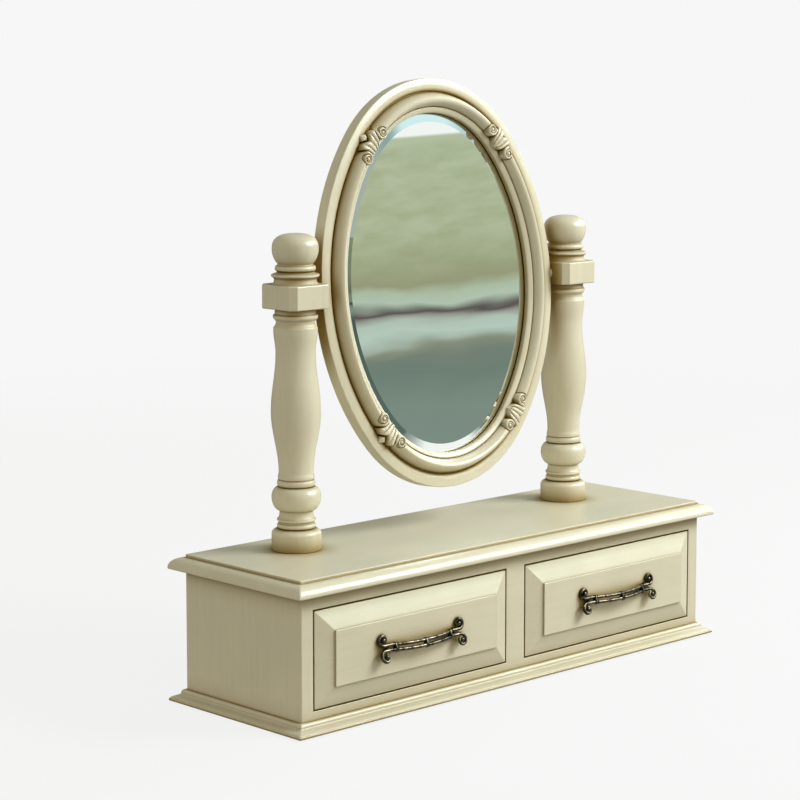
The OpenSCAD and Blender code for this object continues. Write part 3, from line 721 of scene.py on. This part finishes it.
def leaf_height(x, y):
    """The two ribbed leaves between the volutes, which meet in a small tip on the glass side."""
    ax = np.abs(x)
    width = np.interp(y, [-8.8, -6.8, -4.2, 0, 3, 7, 12, 15],
                      [0.3, 4.2, 8.8, 10.4, 10.8, 11.6, 13.6, 13.6])
    top = np.interp(ax, [0, 2, 4.5, 7.8, 11, 13.6], [8.6, 9.8, 11.9, 13.2, 12.5, 10.6])
    q = np.clip(ax / width, 0, 1)
    phase = np.interp(q, [0, 0.52, 1], [0, 1, 2])
    rib = np.abs(np.sin(math.pi * phase)) ** 0.55
    crown = np.interp(y, [-8.8, -5, 0, 6, 10, 15], [3.2, 5.8, 7.6, 8.2, 7.6, 5.4])
    edge = np.minimum(width - ax, top - y)
    inside = (edge > 0) & (y > -8.8)
    rounding = 1.8 * np.exp(-np.maximum(edge, 0) / 0.7)
    return np.where(inside, crown + 2.0 * rib - rounding, NOTHING)


def dart_height(x, y):
    """The diamond-shaped leaf that points out into the channel."""
    reach = np.abs(x) / 4.7 + np.abs(y - 14.2) / 5.8
    crown = np.interp(y, [8, 13, 20], [6.4, 5.6, 2.6])
    rib = -0.7 * np.exp(-(x / 0.45) ** 2)
    return np.where(reach < 1, crown - 2.2 * reach ** 3 + rib, NOTHING)


def ornament_shape():
    """One ornament as a carved relief over its stretch of the moulding, at the upper right."""
    step = 0.4
    below = 4
    xs = np.linspace(-SEAT_HALF, SEAT_HALF, int(2 * SEAT_HALF / step) + 1)
    insets = np.arange(6.0, 37.6, step)
    x, inset = np.meshgrid(xs, insets, indexing="ij")
    y = ORNAMENT_LINE - inset
    right, in_right = volute_height(x, y, inset)
    left, in_left = volute_height(-x, y, inset)
    leaves = np.where(in_right | in_left, NOTHING, leaf_height(x, y))
    height = np.maximum.reduce([right, left, leaves, dart_height(x, y), ground(inset) - 0.6])
    nx, ny = x.shape
    top = np.array([oval_point(ORNAMENT_RUN - x[i, j], inset[i, j], RIM_FRONT + height[i, j])
                    for i in range(nx) for j in range(ny)])
    faces = [(i * ny + j, (i + 1) * ny + j, (i + 1) * ny + j + 1, i * ny + j + 1)
             for i in range(nx - 1) for j in range(ny - 1)]
    rim = ([i * ny for i in range(nx)] + [(nx - 1) * ny + j for j in range(1, ny)]
           + [i * ny + ny - 1 for i in range(nx - 2, -1, -1)] + [j for j in range(ny - 2, 0, -1)])
    floor = top[rim].copy()
    floor[:, 2] = RIM_FRONT - below
    start, n = len(top), len(rim)
    faces += [(rim[i], rim[(i + 1) % n], start + (i + 1) % n, start + i) for i in range(n)]
    faces.append(tuple(range(start, start + n)))
    return np.concatenate([top, floor]), faces


def ornaments():
    """The same ornament at four places, mirrored."""
    points, faces = ornament_shape()
    for side, sx in (("left", -1), ("right", 1)):
        for level, sy in (("bottom", -1), ("top", 1)):
            mirrored = leaned(points * (sx, sy, 1))
            cad = f"ornament_{level}_{side}"
            piece(cad + "_carved", (mirrored, faces), PAINT_Z, "mirror", [cad],
                  sharp=60, weighted=False)


def mirror_glass():
    """Bevelled glass: flat middle, ground bevel, thin edge and back."""
    edge, bevel_w, edge_t = REBATE_IN + 0.5, 17, 2.4
    levels = [(edge, GLASS_BACK), (edge, GLASS_BACK + edge_t), (edge + bevel_w, GLASS_FRONT)]
    loop = 2 * (SIDE_RUN + END_RUN)
    runs = np.arange(0, loop, loop / 360)
    rings = [leaned([oval_point(run, inset, z) for run in runs]) for inset, z in levels]
    piece("mirror_glass_bevelled", loft(rings), GLASS, "mirror",
          ["mirror_glass"], sharp=2.5, weighted=False)


# ---------- drawers ----------

def drawer_front(s):
    """A raised and fielded front, drawn as nested rectangles from its back to its field."""
    side = "right" if s > 0 else "left"
    low, high = corners(f"drawer_{side}_front")
    cx, cz = (low[0] + high[0]) / 2, (low[2] + high[2]) / 2
    half_w, half_h = (high[0] - low[0]) / 2, (high[2] - low[2]) / 2
    field, back = low[1], high[1]
    bevel_w, rise, step = 21.4, 7, 2
    edge_y = field + step + rise
    slope_y = field + step
    levels = [(0, back, 1.3), (0, edge_y + 0.8, 1.3), (0.1, edge_y + 0.4, 1.3),
              (0.3, edge_y + 0.1, 1.2), (0.7, edge_y - 0.15, 1.1),
              (bevel_w - 0.1, slope_y + 0.05, 0.35), (bevel_w, slope_y - 0.1, 0.35),
              (bevel_w, field + 0.6, 0.4), (bevel_w + 0.15, field + 0.2, 0.5),
              (bevel_w + 0.6, field, 0.6)]
    rings = []
    for inset, y, corner in levels:
        flat = rounded_rect(half_w - inset, half_h - inset, corner)
        rings.append(np.column_stack([cx + flat[:, 0], np.full(len(flat), y), cz + flat[:, 1]]))
    piece(f"drawer_{side}_front_fielded", loft(rings), PAINT_X, f"drawer_{side}",
          [f"drawer_{side}_front"], sharp=18)


# ---------- handles: x right, up along the leaning scrolls, out from the drawer ----------

# ROD_GAP is from the middle line to each rod, and HANDLE_OFF from the drawer front.
ROD_R, ROD_GAP = 2.0, 2.75
BOW_CHORD, BOW_RISE, BOW_DROP = 44, 5.8, 1.2
HANDLE_LEAN = math.radians(20)
HANDLE_OFF = 4.4
EYE_X, EYE_UP = 54.5, 8.8
SCROLL_TURN = 352
COLLAR_X, BOSS_X = 39.3, 48
REST, REST_EASE = 1.75, 1.5


def handle_place(x, up, out=0.0):
    """Handle coordinates to (x, height, distance out). Nothing sinks into the drawer front."""
    share = max(0.0, 1 - (x / BOW_CHORD) ** 2)
    away = HANDLE_OFF - up * math.sin(HANDLE_LEAN) + BOW_RISE * share + out
    if away < REST + REST_EASE:
        away = REST + REST_EASE * math.exp((away - REST - REST_EASE) / REST_EASE)
    return (x, up * math.cos(HANDLE_LEAN) - BOW_DROP * share, away)


def tube(path, radii, sides=20):
    """A round tube of changing radius along a path, closed with rounded ends."""
    path = [Vector(p) for p in path]
    first = (path[1] - path[0]).normalized()
    last = (path[-1] - path[-2]).normalized()
    caps = (0.35, 0.75, 0.96)
    lead = [(path[0] - first * radii[0] * math.sqrt(1 - c * c), radii[0] * c) for c in caps]
    tail = [(path[-1] + last * radii[-1] * math.sqrt(1 - c * c), radii[-1] * c)
            for c in caps[::-1]]
    spine = lead + list(zip(path, radii)) + tail
    normal = first.orthogonal().normalized()
    rings = []
    for i, (at, r) in enumerate(spine):
        ahead = spine[min(i + 1, len(spine) - 1)][0]
        behind = spine[max(i - 1, 0)][0]
        along = (ahead - behind).normalized()
        normal = (normal - along * normal.dot(along)).normalized()
        other = along.cross(normal)
        rings.append([tuple(at + normal * r * math.cos(a) + other * r * math.sin(a))
                      for a in np.linspace(0, 2 * math.pi, sides, endpoint=False)])
    return loft(rings)


def ball(at, r, stretch=1.0, rows=14, sides=24):
    """A ball, a little flattened or stretched outwards."""
    rings = []
    for a in np.linspace(-math.pi / 2 + 0.08, math.pi / 2 - 0.08, rows):
        level = r * math.cos(a)
        rings.append([(at[0] + level * math.cos(b), at[1] + level * math.sin(b),
                       at[2] + r * stretch * math.sin(a))
                      for b in np.linspace(0, 2 * math.pi, sides, endpoint=False)])
    return loft(rings)


def scroll_path(side, up):
    """Points and radii from the rod's end round the scroll to its eye, on one side."""
    turn_r = EYE_UP - ROD_GAP
    out = []
    for a in np.arange(-90, 262, 11):
        t = (a + 90) / SCROLL_TURN
        r = turn_r * (1 - 0.62 * t ** 1.7)
        radius = ROD_R * (1.0 - 0.42 * t ** 1.5)
        x = side * (EYE_X + r * math.cos(math.radians(a)))
        rise = EYE_UP + r * math.sin(math.radians(a))
        out.append((handle_place(x, up * rise, 0.3 * t), radius))
    return out


def handle_rod(up):
    """One rod with a scroll at each end, as a tube and a ball in each scroll's eye."""
    end = EYE_X - 2
    straight = [(handle_place(x, up * ROD_GAP), ROD_R) for x in np.linspace(-end, end, 61)]
    whole = scroll_path(-1, up)[::-1] + straight + scroll_path(1, up)
    shells = [tube([p for p, _ in whole], [r for _, r in whole])]
    for side in (-1, 1):
        shells.append(ball(handle_place(side * EYE_X, up * EYE_UP, 0.9), 2.75, 0.95))
    return shells


def collar_shell(x):
    """The collar as a loft of stadium-shaped rings across the two rods."""
    section = [(-1.8, 0.1), (-1.7, 0.45), (-1.3, 0.7), (-0.9, 0.45), (-0.5, 0.35), (0, 0.42),
               (0.5, 0.35), (0.9, 0.45), (1.3, 0.7), (1.7, 0.45), (1.8, 0.1)]
    rings = []
    for along, proud in section:
        low = Vector(handle_place(x + along, -ROD_GAP))
        high = Vector(handle_place(x + along, ROD_GAP))
        axis = (high - low).normalized()
        out = Vector((0, -axis[2], axis[1]))
        r = ROD_R + proud
        ring = []
        for centre, start in ((high, 0), (low, 180)):
            for a in np.linspace(start, start + 180, 13):
                t = math.radians(a)
                ring.append(tuple(centre + out * r * math.cos(t) + axis * r * math.sin(t)))
        rings.append(ring)
    return loft(rings)


def boss(x):
    """A short foot from the drawer front to the rods."""
    rings = []
    for out, r in ((0, 4.4), (0.5, 4.3), (1.2, 3.5), (2.5, 3.1), (HANDLE_OFF + 1, 3.1)):
        rings.append([(x + r * math.cos(a), r * math.sin(a), out)
                      for a in np.linspace(0, 2 * math.pi, 24, endpoint=False)])
    return loft(rings)


def handle(s):
    """A drawer's whole handle, cast in one piece."""
    side = "right" if s > 0 else "left"
    low, high = corners(f"drawer_{side}_front")
    middle = np.array([(low[0] + high[0]) / 2, low[1], (low[2] + high[2]) / 2])
    shells = handle_rod(1) + handle_rod(-1)
    shells += [collar_shell(x) for x in (-COLLAR_X, 0, COLLAR_X)]
    shells += [boss(x) for x in (-BOSS_X, BOSS_X)]
    points, faces = joined(*shells)
    placed = np.column_stack([points[:, 0], -points[:, 2], points[:, 1]]) + middle
    piece(f"drawer_{side}_handle_cast", (placed, faces), BRONZE, f"drawer_{side}",
          [f"drawer_{side}_handle"], sharp=50, weighted=False)


# ---------- finishes for the CAD pieces that stay ----------

def finish_cad():
    """Gives each CAD piece that stays its material."""
    kept = {
        "back_panel": BOARD, "centre_partition": WOOD["y"], "drawer_runners": WOOD["y"],
        "drawer_kickers": WOOD["y"], "drawer_stops": WOOD["z"], "base_screws": STEEL,
        "back_panel_screws": STEEL, "felt_pads": FELT, "post_bolts": STEEL,
        "post_washers": STEEL, "pivot_bushes": BRASS, "backing_board": BOARD,
        "retaining_clips": BRASS, "clip_screws": STEEL, "pivot_pins": STEEL,
        "pivot_washers": NYLON,
    }
    for side in ("left", "right"):
        for part, axis in (("inner_side", "y"), ("outer_side", "y"), ("back", "x"),
                           ("bottom", "x")):
            kept[f"drawer_{side}_{part}"] = WOOD[axis]
        kept[f"drawer_{side}_handle_screws"] = STEEL
    for name, material in kept.items():
        obj = frame["nodes"][name]
        for slot in obj.material_slots:
            slot.material = material
        if not obj.material_slots:
            obj.data.materials.append(material)


# ---------- studio ----------

def camera():
    """The camera, fitted to the photograph's view."""
    data = bpy.data.cameras.new("camera")
    data.lens = 106.72
    data.sensor_width = 36
    data.shift_y = -0.1
    data.clip_end = 100
    cam = bpy.data.objects.new("camera", data)
    azimuth, pitch = math.radians(43.901), math.radians(6.304)
    look = Vector((math.sin(azimuth) * math.cos(pitch), math.cos(azimuth) * math.cos(pitch),
                   -math.sin(pitch)))
    cam.location = (-1.8386, -1.8211, 0.6735)
    cam.rotation_euler = look.to_track_quat("-Z", "Y").to_euler()
    scene.collection.objects.link(cam)
    scene.camera = cam


def floor():
    """A plain pale floor, which fades into the backdrop at its rim and throws no light back."""
    radius = 3.2
    sides = 96
    ring = [(radius * math.cos(a), radius * math.sin(a), 0)
            for a in np.linspace(0, 2 * math.pi, sides, endpoint=False)]
    mesh = bpy.data.meshes.new("studio_floor")
    mesh.from_pydata(ring, [], [tuple(range(sides))])
    mat = bpy.data.materials.new("pale_floor")
    mat.use_nodes = True
    tree = mat.node_tree
    tree.nodes.clear()
    spot = node(tree, "ShaderNodeTexCoord").outputs["Object"]
    distance = node(tree, "ShaderNodeVectorMath", {0: spot}, operation="LENGTH").outputs["Value"]
    fade = node(tree, "ShaderNodeMapRange", {0: distance, 1: 0.9, 2: 3.0, 3: 0.0, 4: 1.0},
                interpolation_type="SMOOTHSTEP").outputs[0]
    grain = noise(tree, spot, 300, 3)
    lit = node(tree, "ShaderNodeBsdfDiffuse", {
        "Color": blend_colour(tree, grain, (0.86, 0.86, 0.86, 1), (0.88, 0.88, 0.88, 1))})
    glow = node(tree, "ShaderNodeEmission", {"Color": (0.93, 0.93, 0.93, 1), "Strength": 1.0})
    part = node(tree, "ShaderNodeMixShader", {0: 0.90, 1: lit.outputs[0], 2: glow.outputs[0]})
    clear = node(tree, "ShaderNodeBsdfTransparent")
    whole = node(tree, "ShaderNodeMixShader", {0: fade, 1: part.outputs[0], 2: clear.outputs[0]})
    node(tree, "ShaderNodeOutputMaterial", {0: whole.outputs[0]})
    mesh.materials.append(mat)
    obj = bpy.data.objects.new("studio_floor", mesh)
    scene.collection.objects.link(obj)
    obj.visible_diffuse = False
    obj.visible_glossy = False


def softbox(name, direction, distance, width, height, power, colour):
    """A rectangular lamp on the side that direction points to, aimed at the piece's middle."""
    middle = Vector((0, 0, 0.28))
    data = bpy.data.lights.new(name, "AREA")
    data.shape = "RECTANGLE"
    data.size, data.size_y = width, height
    data.energy = power
    data.color = colour
    lamp = bpy.data.objects.new(name, data)
    away = Vector(direction).normalized()
    lamp.location = middle + away * distance
    lamp.rotation_euler = (-away).to_track_quat("-Z", "Y").to_euler()
    scene.collection.objects.link(lamp)


AMBIENT = 1.34
WINDOW_LIGHT = 20.0
MIRROR_BEARING = math.radians(44.6)


def room(tree):
    """What glossy surfaces see: the colours of a soft, blurred room, and how much window."""
    direction = node(tree, "ShaderNodeTexCoord").outputs["Generated"]
    parts = node(tree, "ShaderNodeSeparateXYZ", {0: direction})
    dx, dy, dz = parts.outputs
    bearing = maths(tree, "ARCTAN2", dx, maths(tree, "MULTIPLY", dy, -1.0))
    across = maths(tree, "SUBTRACT", bearing, MIRROR_BEARING)
    slow = node(tree, "ShaderNodeCombineXYZ", {0: maths(tree, "MULTIPLY", across, 22.0),
                                               1: maths(tree, "MULTIPLY", dz, 60.0)}).outputs[0]
    wave = noise(tree, slow, 1.0, 2, 0.5, 0.4)
    fine = noise(tree, slow, 2.6, 3, 0.55)
    sway = maths(tree, "MULTIPLY", fitted(tree, wave, 0.3, 0.7, -0.0035, 0.0035),
                 fitted(tree, dz, 0.03, 0.05, 1, 0))
    up = maths(tree, "ADD", dz, sway)
    up = maths(tree, "ADD", up, maths(tree, "MULTIPLY", across, 0.04))
    low, high = -0.05, 0.11
    white = (1.0, 1.0, 0.98, 1)
    cyan = (0.70, 0.92, 0.95, 1)
    teal = rgb(130, 148, 138)

    def at(rise):
        return (rise - low) / (high - low)

    colour = ramp(tree, fitted(tree, up, low, high, 0, 1), [
        (0.0, teal), (at(-0.022), rgb(129, 144, 134)), (at(-0.006), rgb(116, 132, 122)),
        (at(-0.001), rgb(122, 134, 122)), (at(0.003), rgb(142, 148, 130)),
        (at(0.0065), rgb(176, 192, 180)), (at(0.0095), rgb(190, 208, 196)),
        (at(0.0135), rgb(184, 200, 188)), (at(0.0165), rgb(150, 152, 142)),
        (at(0.0182), rgb(92, 82, 84)), (at(0.0198), rgb(128, 132, 122)),
        (at(0.0225), rgb(186, 202, 184)), (at(0.0265), rgb(182, 196, 172)),
        (at(0.0305), rgb(158, 160, 130)), (at(0.037), rgb(168, 174, 142)),
        (at(0.052), rgb(184, 193, 162)), (at(0.0915), rgb(188, 198, 168)),
        (at(0.0925), white), (1.0, white)])
    over = ramp(tree, fitted(tree, up, high, 0.31, 0, 1), [(0.0, white), (0.3, white),
                                                           (0.45, cyan), (1.0, cyan)])
    under = ramp(tree, fitted(tree, up, low, -0.25, 0, 1), [
        (0.0, teal), (0.46, rgb(140, 158, 150)), (0.54, white), (1.0, white)])
    colour = blend_colour(tree, maths(tree, "GREATER_THAN", up, high), colour, over)
    colour = blend_colour(tree, maths(tree, "LESS_THAN", up, low), colour, under)
    patch = fitted(tree, fine, 0.35, 0.7, 0, 0.42)
    above = fitted(tree, dz, 0.024, 0.034, 0, 1)
    below = fitted(tree, dz, 0.086, 0.09, 1, 0)
    patch = maths(tree, "MULTIPLY", patch, maths(tree, "MULTIPLY", above, below))
    colour = blend_colour(tree, patch, colour, rgb(150, 156, 112))
    aside = ramp(tree, fitted(tree, across, -2.0, 2.0, 0, 1), [
        (0.0, (0.42, 0.42, 0.38, 1)), (0.30, (0.55, 0.55, 0.52, 1)),
        (0.44, (0.42, 0.46, 0.44, 1)), (0.475, (0.40, 0.45, 0.43, 1)), (0.485, (1, 1, 1, 1)),
        (0.52, (1, 1, 1, 1)), (0.54, (0.55, 0.62, 0.62, 1)), (0.62, (0.7, 0.7, 0.68, 1)),
        (0.80, (0.40, 0.40, 0.36, 1)), (1.0, (0.38, 0.38, 0.34, 1))])
    near = fitted(tree, maths(tree, "ABSOLUTE", across), 0.30, 0.60, 1, 0)
    window = maths(tree, "MULTIPLY", fitted(tree, dz, 0.27, 0.34, 0, 1),
                   fitted(tree, dz, 0.48, 0.60, 1, 0))
    window = maths(tree, "MULTIPLY", window, near)
    return blend_colour(tree, 1.0, colour, aside, "MULTIPLY"), window


def world():
    """A plain backdrop for the camera, the room for gloss, and soft light for the rest."""
    backdrop = 0.93
    made = bpy.data.worlds.new("studio")
    made.use_nodes = True
    tree = made.node_tree
    tree.nodes.clear()
    path = node(tree, "ShaderNodeLightPath")
    direction = node(tree, "ShaderNodeTexCoord").outputs["Generated"]
    rise = node(tree, "ShaderNodeSeparateXYZ", {0: direction}).outputs[2]
    # Little light comes from below, most from a little above level.
    band = ramp(tree, fitted(tree, rise, -1, 1, 0, 1), [
        (0.0, (0.09, 0.09, 0.09, 1)), (0.40, (0.14, 0.14, 0.14, 1)),
        (0.5, (0.74, 0.74, 0.74, 1)), (0.62, (1.0, 1.0, 1.0, 1)), (0.8, (0.30, 0.30, 0.30, 1)),
        (1.0, (0.06, 0.06, 0.06, 1))])
    soft = node(tree, "ShaderNodeBackground", {
        0: blend_colour(tree, 1.0, band, (1.0, 0.935, 0.79, 1), "MULTIPLY"), 1: AMBIENT})
    seen = node(tree, "ShaderNodeBackground", {0: (backdrop, backdrop, backdrop, 1), 1: 1.0})
    walls, window = room(tree)
    bright = maths(tree, "MULTIPLY_ADD", window, WINDOW_LIGHT, 1.0)
    mirrored = node(tree, "ShaderNodeBackground", {0: walls, 1: bright})
    first = node(tree, "ShaderNodeMixShader", {
        0: path.outputs["Is Glossy Ray"], 1: soft.outputs[0], 2: mirrored.outputs[0]})
    second = node(tree, "ShaderNodeMixShader", {
        0: path.outputs["Is Camera Ray"], 1: first.outputs[0], 2: seen.outputs[0]})
    node(tree, "ShaderNodeOutputWorld", {0: second.outputs[0]})
    scene.world = made


def lights():
    """The key lamp is high enough that the mirror doesn't show it to the camera."""
    softbox("key", (0.545, -0.605, 0.580), 2.5, 1.3, 0.9, 60, (0.97, 1.0, 1.05))
    softbox("right", (1.0, 0.05, 0.45), 2.6, 0.9, 1.2, 11, (0.97, 1.0, 1.04))


def colour_management():
    scene.view_settings.view_transform = "Standard"
    scene.view_settings.look = "None"
    scene.view_settings.exposure = 0
    scene.view_settings.gamma = 1


camera()
base_board()
top_board()
side_board(-1)
side_board(1)
face_frame()
post(-1)
post(1)
mirror_frame()
ornaments()
mirror_glass()
for which in (-1, 1):
    drawer_front(which)
    handle(which)
finish_cad()
floor()
world()
lights()
colour_management()
